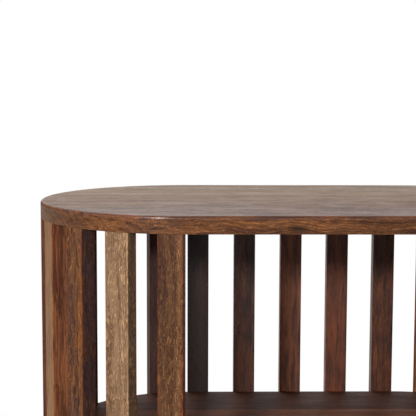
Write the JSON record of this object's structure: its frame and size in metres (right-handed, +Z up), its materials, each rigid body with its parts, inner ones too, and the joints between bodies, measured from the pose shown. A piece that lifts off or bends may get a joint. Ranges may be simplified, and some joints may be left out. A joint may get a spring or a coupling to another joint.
{
  "type": "end table with shelf",
  "caption": "Oval solid-wood end table carried by a ring of upright slats that is open at the front, with one fixed shelf inside the ring.",
  "frame": {"origin": "on the floor, under the middle of the oval top", "axes": "+Z up, +X along the length of the top to the right of a person facing the open front, -Y out of the open front"},
  "size_m": [0.64, 0.36, 0.45],
  "materials": {
    "top_wood": "satin lacquered mid-brown hardwood, boards glued edge to edge, grain along X",
    "shelf_wood": "satin lacquered mid-brown hardwood, boards glued edge to edge, grain along X",
    "slat_wood": "satin lacquered hardwood in tones from pale tan to dark red-brown, grain upright",
    "dowel_wood": "bare pale hardwood, hidden in the joints"
  },
  "bodies": {
    "root": {"top_board_front": "top_wood", "top_board_mid_front": "top_wood", "top_board_mid_rear": "top_wood", "top_board_rear": "top_wood", "shelf_board_front": "shelf_wood", "shelf_board_mid_front": "shelf_wood", "shelf_board_mid_rear": "shelf_wood", "shelf_board_rear": "shelf_wood", "slat_rear_middle": "slat_wood", "slat_left_01": "slat_wood", "slat_left_02": "slat_wood", "slat_left_03": "slat_wood", "slat_left_04": "slat_wood", "slat_left_05": "slat_wood", "slat_left_06": "slat_wood", "slat_left_07": "slat_wood", "slat_left_08": "slat_wood", "slat_left_09": "slat_wood", "slat_left_10": "slat_wood", "slat_left_11": "slat_wood", "slat_right_01": "slat_wood", "slat_right_02": "slat_wood", "slat_right_03": "slat_wood", "slat_right_04": "slat_wood", "slat_right_05": "slat_wood", "slat_right_06": "slat_wood", "slat_right_07": "slat_wood", "slat_right_08": "slat_wood", "slat_right_09": "slat_wood", "slat_right_10": "slat_wood", "slat_right_11": "slat_wood", "top_dowels": "dowel_wood", "shelf_dowels": "dowel_wood"}
  },
  "joints": []
}
